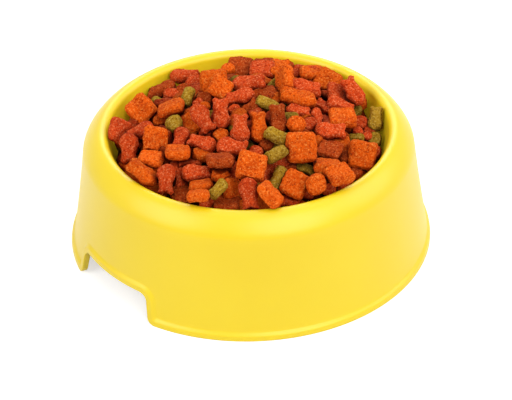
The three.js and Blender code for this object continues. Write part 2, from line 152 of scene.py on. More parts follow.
# Kibbles seen between those of the CAD: kind, colour, size factor, place across and up in
# steps from the middle of the bowl, spin, tip and turn in degrees, height over the bed in mm
BETWEEN = [
    ("square", "orange", 0.85, -29, 92, -20, 25, 20, 8),
    ("disc", "coral", 0.95, -78, 84, 0, 40, 0, 1.5),
    ("bone", "olive", 0.7, -92, 78, -30, 40, 0, 2.5),
    ("fish", "coral", 0.9, -57, 92, 80, 20, 40, 1.5),
    ("disc", "brown", 0.9, -66, 89, 0, 30, 0, 1.5),
    ("disc", "orange", 0.7, -91, 58, 0, 20, 0, 1.5),
    ("disc", "coral", 0.7, -106, 36, 0, 40, 0, 1.5),
    ("fish", "coral", 0.8, -81, 39, 85, 10, 55, 1.5),
    ("fish", "coral", 0.85, -69, 41, 80, 35, 0, 3),
    ("bone", "olive", 0.7, -130, 34, 60, 50, 0, 1.5),
    ("fish", "brown", 0.9, -131, 21, 80, 30, 30, 1.5),
    ("disc", "orange", 0.85, -135, 33, 0, 25, 30, 3),
    ("fish", "orange", 0.75, -126, 12, 50, 35, 20, 2),
    ("disc", "orange", 0.9, -97, 8, 0, 65, 0, 1.5),
    ("disc", "coral", 0.9, -72, 12, 0, 30, 0, 1.5),
    ("fish", "coral", 0.8, -67, 1, 80, 20, 30, 1.5),
    ("square", "brown", 0.8, -68, -16, 20, 40, 0, 1.5),
    ("disc", "orange", 0.8, -22, 110, 0, 40, 0, 7),
    ("disc", "orange", 0.7, -16, 101, 0, 30, 0, 1.5),
    ("bone", "olive", 0.8, -20, 86, 40, 30, 0, 1.5),
    ("disc", "coral", 0.8, -27, 83, 0, 50, 0, 1.5),
    ("disc", "brown", 0.95, -46, 80, 0, 25, 0, 1.5),
    ("disc", "orange", 0.7, -54, 83, 0, 40, 0, 1.5),
    ("disc", "coral", 0.75, -52, 75, 60, 20, 0, 1.5),
    ("square", "orange", 0.9, -60, 55, 40, 15, 0, 1.5),
    ("disc", "orange", 0.6, -45, 73, 0, 40, 0, 1.5),
    ("disc", "coral", 0.75, -15, 69, 0, 20, 0, 1.5),
    ("fish", "brown", 0.85, 1, 70, -130, 20, 0, 1.5),
    ("disc", "orange", 0.9, -29, 43, 0, 30, 0, 1.5),
    ("disc", "coral", 0.8, -43, 45, 0, 50, 0, 1.5),
    ("disc", "orange", 0.95, -50, 24, 0, 50, 8, 2.5),
    ("disc", "orange", 0.6, -57, 30, 0, 40, 0, 1.5),
    ("fish", "coral", 0.75, -60, 16, 5, 62, 0, 2.5),
    ("square", "orange", 0.8, -17, -10, 0, 10, 48, 2.5),
    ("disc", "coral", 0.8, -42, -25, 0, 55, 0, 1.5),
    ("square", "brown", 0.95, -23, -24, 0, 62, 0, 1.5),
    ("disc", "orange", 0.8, -8, -28, 0, 60, 0, 1.5),
    ("fish", "coral", 0.75, 39, -21, 0, 55, 0, 1.5),
    ("disc", "coral", 0.75, 80, -11, 0, 45, 0, 1.5),
    ("disc", "coral", 0.95, 95, -5, 0, 45, 0, 1.5),
    ("disc", "coral", 0.7, 129, 26, 70, 20, 0, 1.5),
    ("fish", "coral", 0.75, -16, 7, 85, 20, 50, 1.5),
    ("disc", "coral", 0.8, -19, -2, 0, 40, 0, 1.5),
    ("disc", "coral", 0.8, 6, 27, 0, 25, 0, 2.5),
    ("fish", "coral", 0.95, 17, 7, 88, 10, 45, 2.5),
    ("fish", "brown", 0.8, 18, 119, 0, 60, 0, 9),
    ("fish", "orange", 0.75, 34, 117, 180, 45, 0, 9),
    ("disc", "brown", 0.9, 40, 113, 0, 62, 0, 8),
    ("disc", "orange", 0.7, 26, 108, 0, 40, 0, 6.5),
    ("bone", "olive", 0.6, 17, 103, 0, 30, 0, 1.5),
    ("bone", "olive", 0.9, 25, 95, 45, 20, 0, 2.5),
    ("fish", "coral", 0.85, 64, 103, 90, 35, 0, 6.5),
    ("square", "orange", 0.9, 73, 110, 0, 62, 0, 8.5),
    ("disc", "coral", 0.7, 86, 102, 0, 20, 0, 7),
    ("square", "brown", 0.75, 18, 86, 20, 50, 0, 2.5),
    ("disc", "brown", 0.7, 8, 85, 0, 30, 0, 1.5),
    ("disc", "orange", 0.75, 28, 81, 70, 20, 0, 1.5),
    ("fish", "coral", 0.8, 77, 72, -35, 40, 0, 1.5),
    ("fish", "coral", 0.8, 49, 68, 175, 42, 10, 2.5),
    ("disc", "coral", 0.85, 60, 55, 70, 20, 0, 1.5),
    ("disc", "brown", 0.85, 17, 35, 60, 20, 0, 1.5),
    ("fish", "coral", 0.75, 67, 61, 85, 20, 50, 1.5),
    ("disc", "orange", 0.7, 69, 38, 80, 10, 0, 1.5),
    ("square", "orange", 0.75, 92, 33, 10, 20, 0, 1.5),
    ("fish", "coral", 0.75, 32, 16, 35, 30, 0, 2.5),
    ("bone", "olive", 0.95, 56, 10, -25, 25, 0, 2.5),
    ("disc", "brown", 0.8, 40, 11, 0, 30, 0, 1.5),
    ("disc", "orange", 0.8, 68, 4, 0, 40, 0, 1.5),
    ("disc", "orange", 0.9, 117, 74, 0, 30, 0, 5),
    ("disc", "olive", 0.8, 107, 69, 70, 20, 0, 1.5),
    ("disc", "coral", 0.9, 111, 57, 0, 15, 0, 1.5),
    ("fish", "coral", 0.7, 121, 50, -90, 30, 0, 1.5),
    ("disc", "coral", 0.6, 109, 48, 0, 40, 0, 1.5),
    ("disc", "coral", 0.6, 118, 43, 0, 40, 0, 1.5),
    ("bone", "olive", 0.75, 107, 41, 0, 45, 0, 2.5),
    ("disc", "olive", 0.9, 132, 36, 70, 15, 0, 1.5),
    ("disc", "brown", 0.8, 107, 6, 0, 40, 0, 1.5),
    ("disc", "brown", 0.8, 95, 21, 0, 40, 0, 1.5),
]

# Colours, linear
COLOURS = {  # base; dark of the blotches and pores, also the painted shade in low spots and crevices; pale of the specks, also the painted highlight on crumb tips
    "orange": ((0.67, 0.090, 0.003), (0.26, 0.010, 0.0003), (0.95, 0.36, 0.07)),
    "coral": ((0.58, 0.058, 0.008), (0.24, 0.008, 0.0008), (0.93, 0.34, 0.14)),
    "brown": ((0.39, 0.047, 0.004), (0.12, 0.006, 0.0003), (0.76, 0.24, 0.07)),
    "olive": ((0.35, 0.190, 0.012), (0.10, 0.034, 0.001), (0.66, 0.48, 0.12)),
}
YELLOW = (0.85, 0.63, 0.010)
YELLOW_DEEP = (0.83, 0.605, 0.008)
BASIN_LIT_GOLD = (0.98, 0.72, 0.014)  # inside the basin, lighter and more golden than outside: painted light for the light falling and bouncing in the basin

# Grain of the surfaces, features to the metre
PATCH_SCALE = 130
PORE_SCALE = 430
CRUMB_SCALE = 900
GRAIN_SCALE = 1700
CLOUD_SCALE = 16
MOULD_SCALE = 1500
CRUMB_BUMP = 0.4 * MM
MOULD_BUMP = 0.01 * MM
CREVICE_SHADE_REACH = 5 * MM  # how far off a neighbour still darkens a crumb with painted shade
SCATTER_DEPTH = 2 * MM  # of light in the plastic

# Studio
FLOOR_HALF = 4  # metres
FLOOR_GAP = 0.1 * MM
FLOOR_GREY = 0.68
FLOOR_GLOW = 0.62  # where it is seen, which brings it up to white
FILL = 0.2  # strength of the world on the object
SOFTBOXES = (  # name, place, diameter, watts
    ("front_light", (-0.25, -1.35, 1.2), 1.5, 20),
    ("right_light", (1.2, -0.8, 0.95), 1.2, 9.5),
    ("left_light", (-1.25, 0.25, 1.0), 1.2, 12),
    ("back_light", (0.9, 1.1, 1.0), 1.4, 12),
    ("top_light", (0.1, 0.1, 1.6), 1.4, 5),
)
SEED = 7

collection = bpy.context.scene.collection


# Helpers for meshes


def linked(name, mesh):
    piece = bpy.data.objects.new(name, mesh)
    collection.objects.link(piece)
    return piece


def settled(piece):
    """Turn the piece's modifiers into its plain mesh."""
    depsgraph = bpy.context.evaluated_depsgraph_get()
    mesh = bpy.data.meshes.new_from_object(piece.evaluated_get(depsgraph))
    piece.modifiers.clear()
    old = piece.data
    piece.data = mesh
    bpy.data.meshes.remove(old)
    mesh.name = piece.name
    return piece


def from_bmesh(name, bm):
    mesh = bpy.data.meshes.new(name)
    bm.to_mesh(mesh)
    bm.free()
    return mesh


def closed_mesh(name, vertices, faces):
    """Mesh of these faces, welded and facing outwards."""
    bm = bmesh.new()
    corners = [bm.verts.new(v) for v in vertices]
    for face in faces:
        bm.faces.new([corners[i] for i in face])
    bmesh.ops.remove_doubles(bm, verts=bm.verts, dist=1e-7)
    bmesh.ops.recalc_face_normals(bm, faces=bm.faces)
    return from_bmesh(name, bm)


def bezier(start, pull_start, pull_end, end, steps):
    points = []
    for i in range(steps + 1):
        t = i / steps
        weights = ((1 - t) ** 3, 3 * t * (1 - t) ** 2, 3 * t * t * (1 - t), t**3)
        corners = (start, pull_start, pull_end, end)
        points.append(tuple(sum(w * c[k] for w, c in zip(weights, corners)) for k in (0, 1)))
    return points


def quadratic(start, pull, end, steps):
    near = tuple(a + (b - a) * 2 / 3 for a, b in zip(start, pull))
    far = tuple(a + (b - a) * 2 / 3 for a, b in zip(end, pull))
    return bezier(start, near, far, end, steps)


def arc(centre, radius, start, end, steps):
    angles = [math.radians(start + (end - start) * i / steps) for i in range(steps + 1)]
    return [(centre[0] + radius * math.cos(a), centre[1] + radius * math.sin(a)) for a in angles]


# Camera


def sight_axes():
    """Right, up and backwards of the picture, before the aim."""
    back = Vector((
        math.sin(EYE_TURN) * math.cos(EYE_RISE),
        -math.cos(EYE_TURN) * math.cos(EYE_RISE),
        math.sin(EYE_RISE),
    ))
    level = Vector((math.cos(EYE_TURN), math.sin(EYE_TURN), 0))
    rise = back.cross(level)
    right = level * math.cos(EYE_ROLL) - rise * math.sin(EYE_ROLL)
    up = level * math.sin(EYE_ROLL) + rise * math.cos(EYE_ROLL)
    return right, up, back


SIGHT_RIGHT, SIGHT_UP, SIGHT_BACK = sight_axes()
BOWL_MIDDLE = Vector((0, 0, BOWL_HEIGHT / 2))
EYE = BOWL_MIDDLE + SIGHT_BACK * EYE_DISTANCE


def make_camera():
    data = bpy.data.cameras.new("camera")
    data.sensor_width = SENSOR_WIDTH
    data.lens = FOCAL_PIXELS * SENSOR_WIDTH / PICTURE_WIDTH
    camera = linked("camera", data)
    aside = (BOWL_SPOT[0] - PICTURE_CENTRE[0]) / FOCAL_PIXELS
    above = (PICTURE_CENTRE[1] - BOWL_SPOT[1]) / FOCAL_PIXELS
    back = (SIGHT_BACK + SIGHT_RIGHT * aside + SIGHT_UP * above).normalized()
    right = SIGHT_UP.cross(back).normalized()
    up = back.cross(right)
    turned = Matrix((right, up, back)).transposed().to_4x4()
    camera.matrix_world = Matrix.Translation(EYE) @ turned
    bpy.context.scene.camera = camera


make_camera()


# Materials


def add_node(tree, kind, **settings):
    node = tree.nodes.new(kind)
    for name, value in settings.items():
        if name in node.inputs:
            node.inputs[name].default_value = value
        else:
            setattr(node, name, value)
    return node


def math_node(tree, operation, first, second):
    node = add_node(tree, "ShaderNodeMath", operation=operation)
    for socket, value in zip(node.inputs, (first, second)):
        if isinstance(value, (int, float)):
            socket.default_value = value
        else:
            tree.links.new(value, socket)
    return node.outputs[0]


def ramp(tree, value, low, high):
    """0 below low, 1 above high, smooth between."""
    node = add_node(tree, "ShaderNodeMapRange", interpolation_type="SMOOTHSTEP")
    tree.links.new(value, node.inputs["Value"])
    node.inputs["From Min"].default_value = low
    node.inputs["From Max"].default_value = high
    return node.outputs["Result"]


def mix_colour(tree, share, first, second):
    node = add_node(tree, "ShaderNodeMix", data_type="RGBA")
    for socket, value in ((node.inputs[0], share), (node.inputs[6], first), (node.inputs[7], second)):
        if isinstance(value, (int, float, tuple)):
            socket.default_value = value
        else:
            tree.links.new(value, socket)
    return node.outputs[2]


def noise(tree, place, scale, detail):
    node = add_node(tree, "ShaderNodeTexNoise", Scale=scale, Detail=detail)
    tree.links.new(place, node.inputs["Vector"])
    return node.outputs["Fac"]


def crumb_with_painted_light():
    """Group for the dry baked surface: colour, roughness and height of its crumbs and pores; its colour
    also carries painted shade in the crumbs' low spots and in crevices between kibbles, and painted
    highlights on the crumbs' tips.
    """
    tree = bpy.data.node_groups.new("Baked crumb", "ShaderNodeTree")
    face = tree.interface
    for name in ("Base", "Hollow", "Pale"):
        face.new_socket(name, in_out="INPUT", socket_type="NodeSocketColor")
    face.new_socket("Colour", in_out="OUTPUT", socket_type="NodeSocketColor")
    face.new_socket("Roughness", in_out="OUTPUT", socket_type="NodeSocketFloat")
    face.new_socket("Height", in_out="OUTPUT", socket_type="NodeSocketFloat")
    given = add_node(tree, "NodeGroupInput").outputs
    result = add_node(tree, "NodeGroupOutput").inputs
    place = add_node(tree, "ShaderNodeTexCoord").outputs["Object"]
    patches = noise(tree, place, PATCH_SCALE, 3)
    crumbs = noise(tree, place, CRUMB_SCALE, 3)
    grain = noise(tree, place, GRAIN_SCALE, 2)
    cells = add_node(tree, "ShaderNodeTexVoronoi", Scale=PORE_SCALE)
    tree.links.new(place, cells.inputs["Vector"])
    pores = ramp(tree, cells.outputs["Distance"], 0.24, 0.08)
    tone = add_node(tree, "ShaderNodeAttribute", attribute_name="tone").outputs["Fac"]

    blotches = math_node(tree, "MULTIPLY", ramp(tree, patches, 0.45, 0.70), 0.35)
    patchy = mix_colour(tree, blotches, given["Base"], given["Hollow"])
    # painted shade: darker in the low spots of the crumbs, where the bump sinks
    hollows = math_node(tree, "MULTIPLY", ramp(tree, crumbs, 0.46, 0.34), 0.60)
    hollow_shaded = mix_colour(tree, hollows, patchy, given["Hollow"])
    # painted highlight: paler on the high spots of the crumbs, where the bump rises
    tips = math_node(tree, "MULTIPLY", ramp(tree, crumbs, 0.54, 0.72), 0.42)
    tip_highlighted = mix_colour(tree, tips, hollow_shaded, given["Pale"])
    specks = math_node(tree, "MULTIPLY", ramp(tree, grain, 0.58, 0.68), 0.50)
    speckled = mix_colour(tree, specks, tip_highlighted, given["Pale"])
    pitted = mix_colour(tree, math_node(tree, "MULTIPLY", pores, 0.55), speckled, given["Hollow"])
    # painted shade: ambient occlusion takes the colour towards Hollow and lowers its value in crevices
    # between and under kibbles
    crevice = add_node(tree, "ShaderNodeAmbientOcclusion", samples=6, Distance=CREVICE_SHADE_REACH)
    lit = ramp(tree, crevice.outputs["AO"], 0.08, 0.95)
    crevice_shaded = mix_colour(tree, lit, given["Hollow"], pitted)
    toned = add_node(tree, "ShaderNodeHueSaturation")
    tree.links.new(crevice_shaded, toned.inputs["Color"])
    shade = math_node(tree, "ADD", 0.25, math_node(tree, "MULTIPLY", lit, 0.75))
    value = math_node(tree, "MULTIPLY", math_node(tree, "ADD", tone, 0.5), shade)
    tree.links.new(value, toned.inputs["Value"])

    height = math_node(tree, "ADD", crumbs, math_node(tree, "MULTIPLY", grain, 0.35))
    height = math_node(tree, "SUBTRACT", height, math_node(tree, "MULTIPLY", pores, 0.6))
    rough = math_node(tree, "ADD", 0.66, math_node(tree, "MULTIPLY", crumbs, 0.3))
    tree.links.new(toned.outputs["Color"], result["Colour"])
    tree.links.new(rough, result["Roughness"])
    tree.links.new(height, result["Height"])
    return tree


CRUMB_WITH_PAINTED_LIGHT = crumb_with_painted_light()


def new_material(name):
    material = bpy.data.materials.new(name)
    material.use_nodes = True
    tree = material.node_tree
    return material, tree, tree.nodes["Principled BSDF"]


def bump(tree, shader, height, depth):
    node = add_node(tree, "ShaderNodeBump", Distance=depth, Strength=1.0)
    tree.links.new(height, node.inputs["Height"])
    tree.links.new(node.outputs["Normal"], shader.inputs["Normal"])


def kibble_material(colour):
    material, tree, shader = new_material(f"kibble_{colour}")
    crumb = add_node(tree, "ShaderNodeGroup", node_tree=CRUMB_WITH_PAINTED_LIGHT)
    for name, value in zip(("Base", "Hollow", "Pale"), COLOURS[colour]):
        crumb.inputs[name].default_value = (*value, 1)
    # the group's colour carries painted shade and painted highlights
    tree.links.new(crumb.outputs["Colour"], shader.inputs["Base Color"])
    tree.links.new(crumb.outputs["Roughness"], shader.inputs["Roughness"])
    bump(tree, shader, crumb.outputs["Height"], CRUMB_BUMP)
    shader.inputs["Specular IOR Level"].default_value = 0.05
    return material


def bowl_material():
    material, tree, shader = new_material("bowl_plastic")
    place = add_node(tree, "ShaderNodeTexCoord").outputs["Object"]
    clouds = noise(tree, place, CLOUD_SCALE, 2)
    grain = noise(tree, place, MOULD_SCALE, 2)
    colour = mix_colour(tree, ramp(tree, clouds, 0.35, 0.65), (*YELLOW, 1), (*YELLOW_DEEP, 1))
    # painted light: the basin is tinted a lighter gold than the outside
    basin = add_node(tree, "ShaderNodeAttribute", attribute_name="basin").outputs["Fac"]
    colour = mix_colour(tree, basin, colour, (*BASIN_LIT_GOLD, 1))
    tree.links.new(colour, shader.inputs["Base Color"])
    rough = math_node(tree, "ADD", 0.34, math_node(tree, "MULTIPLY", clouds, 0.06))
    tree.links.new(rough, shader.inputs["Roughness"])
    bump(tree, shader, grain, MOULD_BUMP)
    shader.inputs["Specular IOR Level"].default_value = 0.5
    shader.inputs["Subsurface Weight"].default_value = 0.12
    shader.inputs["Subsurface Radius"].default_value = (1.0, 0.8, 0.2)
    shader.inputs["Subsurface Scale"].default_value = SCATTER_DEPTH
    return material


KIBBLE_MATERIALS = {colour: kibble_material(colour) for colour in COLOURS}


def fit_out(piece, material):
    """Give a finished piece its material, and tie it to the part."""
    piece.data.materials.clear()
    piece.data.materials.append(material)
    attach(piece, BODY)


# Bowl


def skirt_radius(height):
    top = BOWL_HEIGHT - SHOULDER_DROP
    share = height / top
    foot = MOUTH_RADIUS + RIM_ROLL + SHOULDER_WIDTH + SKIRT_FLARE
    return foot - SKIRT_FLARE * share - 2 * SKIRT_BOW * share * (1 - share)


def basin_profile(inset):
    """Basin from the middle of its floor up to the mouth, moved into the basin by an inset."""
    floor = FLOOR_LIFT + WALL + inset
    corner = Vector((FLOOR_RADIUS - inset, floor))
    mouth = Vector((MOUTH_RADIUS - inset, BOWL_HEIGHT - MOUTH_DROP))
    start = corner + (mouth - corner).normalized() * FLOOR_CORNER
    points = [(0, floor), ((corner.x - FLOOR_CORNER) / 2, floor)]
    points += quadratic((corner.x - FLOOR_CORNER, floor), tuple(corner), tuple(start), 8)
    points += [tuple(start.lerp(mouth, i / 6)) for i in range(1, 7)]
    return points


def under_profile():
    """Underside, from the axis out under the basin, up inside the rim and down to NOTCH_REACH."""
    mouth, under = BOWL_HEIGHT - MOUTH_DROP, BOWL_HEIGHT - WALL
    rim = MOUTH_RADIUS + RIM_ROLL
    shoulder, height = rim + SHOULDER_WIDTH - WALL, BOWL_HEIGHT - SHOULDER_DROP
    inner = MOUTH_RADIUS + WALL
    points = basin_profile(-WALL)
    points += quadratic((inner, mouth), (inner, under), (rim, under), 6)[1:]
    points += bezier(
        (rim, under),
        (rim + RIM_PULL - WALL / 2, under),
        (shoulder, height + SHOULDER_PULL - WALL / 2),
        (shoulder, height),
        10,
    )[1:]
    steps = 6
    heights = [height + (NOTCH_REACH - height) * i / steps for i in range(1, steps)]
    return points + [(skirt_radius(h) - WALL, h) for h in heights]


def over_profile():
    """Outside from NOTCH_REACH up, over the shoulder and the rim, down to the basin's middle."""
    mouth, height = BOWL_HEIGHT - MOUTH_DROP, BOWL_HEIGHT - SHOULDER_DROP
    rim = MOUTH_RADIUS + RIM_ROLL
    shoulder = rim + SHOULDER_WIDTH
    slope = Vector((2 * SKIRT_BOW - SKIRT_FLARE, height)).normalized()
    steps = 10
    heights = [NOTCH_REACH + (height - NOTCH_REACH) * i / steps for i in range(1, steps)]
    points = [(skirt_radius(h), h) for h in heights]
    points += bezier(
        (shoulder, height),
        (shoulder + slope.x * SHOULDER_PULL, height + slope.y * SHOULDER_PULL),
        (rim + RIM_PULL, BOWL_HEIGHT),
        (rim, BOWL_HEIGHT),
        18,
    )
    turns = [math.radians(90 + 90 * i / 10) for i in range(1, 11)]
    points += [(rim + RIM_ROLL * math.cos(a), mouth + MOUTH_DROP * math.sin(a)) for a in turns]
    return points + basin_profile(0)[-2::-1]


def notch_edge():
    """Half of a notch's edge seen from outside, from the middle of its top down to the foot."""
    half, top = NOTCH_WIDTH / 2, NOTCH_HEIGHT
    shoulder = half - NOTCH_DRAFT
    flat, side = shoulder - NOTCH_CORNER, top - NOTCH_CORNER
    points = [(flat * i / 9, top) for i in range(9)]
    points += arc((flat, side), NOTCH_CORNER, 90, 0, 9)
    points += [(shoulder + NOTCH_DRAFT * i / 8, side + (NOTCH_FLARE - side) * i / 8) for i in range(1, 8)]
    return points + arc((half + NOTCH_FLARE, NOTCH_FLARE), NOTCH_FLARE, 180, 270, 14)


def skirt_columns():
    """Turn about the axis and height of the free edge, for each column of the bowl's mesh."""
    half = [(math.asin(y / skirt_radius(z)), z) for y, z in notch_edge()]
    fine, coarse = math.radians(0.4), math.radians(1.7)
    turn = half[-1][0]
    for _ in range(10):
        turn += fine
        half.append((turn, 0))
    count = round((math.pi / 2 - turn) / coarse)
    step = (math.pi / 2 - turn) / count
    half += [(turn + step * i, 0) for i in range(1, count + 1)]
    side = [(-turn, z) for turn, z in reversed(half[1:-1])] + half
    return side + [(turn + math.pi, z) for turn, z in side]


def free_edge_distance(turn, height):
    """Distance of points on the skirt from its free edge: the foot and both notches."""
    edge = np.array(notch_edge())
    across = np.abs(np.sin(turn)) * skirt_radius(height)
    apart = np.hypot(across[:, None] - edge[:, 0], height[:, None] - edge[:, 1]).min(axis=1)
    return np.minimum(apart, np.where(across > edge[-1, 0], height, apart))


def lip_rise(distance):
    """How far the lip stands out of the skirt at a distance from the free edge."""
    inside = np.clip(LIP_ROUND - distance, 0, LIP_ROUND)
    edge = LIP_WIDTH - LIP_ROUND + np.sqrt(LIP_ROUND**2 - inside**2)
    share = np.clip((distance - LIP_HEIGHT + LIP_BLEND / 2) / LIP_BLEND, 0, 1)
    return edge * (1 - share * share * (3 - 2 * share))


def skirt_rows(turns, feet):
    """Rows of radius and height round the lower skirt, down inside it and up outside."""
    rows = []
    for share in INSIDE_MARKS:
        height = feet + (NOTCH_REACH - feet) * share
        rows.append((skirt_radius(height) - WALL, height))
    marks = list(LIP_MARKS)
    marks += [LIP_MARKS[-1] + LIP_MARK_STEP * i for i in range(1, LIP_MARK_COUNT + 1)]
    steps = [MM * mark for mark in marks]
    steps += list(np.linspace(steps[-1], NOTCH_REACH, 38)[1:])
    for step in steps:
        height = feet + (NOTCH_REACH - feet) * step / NOTCH_REACH
        rise = lip_rise(free_edge_distance(turns, height))
        rows.append((skirt_radius(height) + rise, height))
    return rows


def bowl_mesh():
    """Closed moulding: every row of the section runs once round, notches and lip included."""
    turns, feet = (np.array(values) for values in zip(*skirt_columns()))
    level = np.ones_like(turns)
    rows = [(radius * level, height * level) for radius, height in under_profile()]
    rows += skirt_rows(turns, feet)
    rows += [(radius * level, height * level) for radius, height in over_profile()]
    count = len(turns)
    vertices = []
    for radius, height in rows:
        vertices += zip(radius * np.cos(turns), radius * np.sin(turns), height)
    faces = []
    for row in range(len(rows) - 1):
        low, high = row * count, (row + 1) * count
        for i in range(count):
            j = (i + 1) % count
            faces.append((low + i, low + j, high + j, high + i))
    return closed_mesh("feeding_bowl", vertices, faces)


def mark_basin_light(mesh):
    """Share of the basin's painted light, a lighter gold: none on the rim's crest, full from the mouth
    inwards.
    """
    spots = np.array([vertex.co for vertex in mesh.vertices])
    inwards = MOUTH_RADIUS + RIM_ROLL - np.hypot(spots[:, 0], spots[:, 1])
    layer = mesh.attributes.new("basin", "FLOAT", "POINT")
    layer.data.foreach_set("value", np.clip(inwards / RIM_ROLL, 0, 1).astype(np.float32))


def make_bowl():
    piece = linked("feeding_bowl", bowl_mesh())
    mark_basin_light(piece.data)
    piece.data.shade_smooth()
    piece.data.set_sharp_from_angle(angle=CREASE)
    fit_out(piece, bowl_material())
    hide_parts("bowl")


# Kibbles


def bed_top(radius):
    share = min(radius / BED_RADIUS, 1)
    edge = BOWL_HEIGHT - BED_EDGE_DROP
    return edge + (BED_CROWN_RISE + BED_EDGE_DROP) * (1 - share * share)


def rounded_outline(length, width, power, waist, steps=20):
    points = []
    for i in range(steps):
        angle = 2 * math.pi * i / steps
        cos, sin = math.cos(angle), math.sin(angle)
        along = math.copysign(abs(cos) ** power, cos)
        across = math.copysign(abs(sin) ** power, sin)
        points.append((length / 2 * along, width / 2 * across * (1 - waist * (1 - along * along))))
    return points


def fish_outline(length, width):
    """Round body with its head towards +X and a short tail with blunt tips."""
    middle, half, tail = 0.16 * length, 0.34 * length, -length / 2
    join = 130  # degrees from the head round to where the tail starts
    body = [
        (middle + half * math.cos(a), width / 2 * math.sin(a))
        for a in (math.radians(join * i / 8) for i in range(9))
    ]
    tip, blunt = 0.43 * width, 0.13 * width
    side = body + quadratic(body[-1], (tail + 0.17 * length, 0.28 * width), (tail + blunt, tip), 5)[1:]
    side.append((tail, tip - blunt))
    return side + [(tail + 0.06 * length, 0)] + [(x, -y) for x, y in reversed(side[1:])]


def kibble_outline(kind):
    length, width, _ = KIBBLE_SIZES[kind]
    if kind == "fish":
        return fish_outline(length, width)
    power, waist = {"square": (0.32, 0), "disc": (1, 0), "bone": (0.6, 0.22)}[kind]
    return rounded_outline(length, width, power, waist)


def kibble_mesh(kind):
    """Pressed kibble with puffed faces, lying in XY with its middle at the origin."""
    outline = kibble_outline(kind)
    thickness = KIBBLE_SIZES[kind][2]
    layers = ((-0.5, 0.82), (-0.2, 1.0), (0.2, 1.0), (0.5, 0.82))  # height, size of the outline
    count = len(outline)
    vertices = [(x * grow, y * grow, thickness * z) for z, grow in layers for x, y in outline]
    faces = [tuple(range(count)), tuple(range(3 * count, 4 * count))]
    for layer in range(3):
        for i in range(count):
            j = (i + 1) % count
            low, high = layer * count, (layer + 1) * count
            faces.append((low + i, low + j, high + j, high + i))
    return closed_mesh(kind, vertices, faces)


def clouds(name, size, depth):
    texture = bpy.data.textures.new(name, "CLOUDS")
    texture.noise_scale = size
    texture.noise_depth = depth
    return texture


LUMPS = clouds("lumps", LUMP_SIZE, 1)
CRUMBS = clouds("crumbs", CRUMB_SIZE, 2)


def crumble(piece, voxel=CRUMB_VOXEL):
    """Round a plain kibble's edges, and rough it up as baked crumb."""
    remesh = piece.modifiers.new("even", "REMESH")
    remesh.mode = "VOXEL"
    remesh.voxel_size = voxel
    worn = piece.modifiers.new("worn", "SMOOTH")
    worn.factor = 0.5
    worn.iterations = 2
    for texture, depth in ((LUMPS, LUMP_DEPTH), (CRUMBS, CRUMB_DEPTH)):
        rough = piece.modifiers.new("rough", "DISPLACE")
        rough.texture = texture
        rough.texture_coords = "LOCAL"
        rough.strength = depth
        rough.mid_level = 0.5
    settled(piece)
    piece.data.shade_smooth()
    return piece


def set_tone(mesh, value):
    """Give one kibble its lightness."""
    layer = mesh.attributes.new("tone", "FLOAT", "POINT")
    layer.data.foreach_set("value", np.full(len(mesh.vertices), value, np.float32))


def merged_copy(node):
    bm = bmesh.new()
    bm.from_mesh(frame["nodes"][node].data)
    bmesh.ops.remove_doubles(bm, verts=bm.verts, dist=1e-6)
    return from_bmesh(node, bm)


def dress_cad_kibbles(random):
    """Crumbly kibble in place of each one in the CAD."""
    slots = {part["node"]: part["material_slot"] for part in frame["record"]["subparts"]}
    made = []
    for node in sorted(frame["nodes"]):
        if "_kibble_" not in node:
            continue
        slot = slots[node]
        piece = crumble(linked(f"crumbly_{node}", merged_copy(node)))
        set_tone(piece.data, random.uniform(*TOP_TONES))
        fit_out(piece, KIBBLE_MATERIALS[slot.removeprefix("kibble_")])
        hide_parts(node)
        made.append(piece)
    return made


def sight_ray(across, up):
    aim = BOWL_MIDDLE + (SIGHT_RIGHT * across + SIGHT_UP * up) * PLACE_STEP
    return (aim - EYE).normalized()


def resting_spot(across, up, cover, reach):
    """Where the line of sight through a place comes down to a cover over the bed, within a reach."""
    ray = sight_ray(across, up)
    distance = EYE_DISTANCE - 2 * MOUTH_RADIUS
    spot = EYE + ray * distance
    while spot.z > bed_top(spot.xy.length) + cover and distance < EYE_DISTANCE + 2 * MOUTH_RADIUS:
        distance += SETTLE_STEP
        spot = EYE + ray * distance
    out = spot.xy.length
    if out > reach:
        spot.xy *= reach / out
        spot.z = bed_top(reach) + cover
    return spot


def kibble_pose(spin, tip, turn):
    sight = Matrix((SIGHT_RIGHT, SIGHT_UP, SIGHT_BACK)).transposed()
    spin, tip, turn = (math.radians(angle) for angle in (spin, tip, turn))
    return (
        sight
        @ Matrix.Rotation(-tip, 3, "X")
        @ Matrix.Rotation(turn, 3, "Y")
        @ Matrix.Rotation(spin, 3, "Z")
    )


def joined(name, pieces):
    """One piece from many meshes."""
    bm = bmesh.new()
    for piece in pieces:
        bm.from_mesh(piece.data)
        bpy.data.objects.remove(piece)
    return linked(name, from_bmesh(name, bm))


def lay_between(random):
    """Kibbles that show between those of the CAD, one piece for each colour."""
    groups = {colour: [] for colour in COLOURS}
    for kind, colour, size, across, up, spin, tip, turn, cover in BETWEEN:
        mesh = kibble_mesh(kind)
        turned = kibble_pose(spin, tip, turn) * size
        reach = PLACE_REACH - size * KIBBLE_SIZES[kind][0] / 2
        spot = resting_spot(across, up, cover * MM, reach)
        mesh.transform(Matrix.Translation(spot) @ turned.to_4x4())
        piece = crumble(linked("loose", mesh))
        set_tone(piece.data, random.uniform(*LOOSE_TONES))
        groups[colour].append(piece)
    made = []
    for colour, pieces in groups.items():
        piece = joined(f"loose_{colour}", pieces)
        piece.data.shade_smooth()
        fit_out(piece, KIBBLE_MATERIALS[colour])
        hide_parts("kibble_bed")
        made.append(piece)
    return made


# Buried kibbles


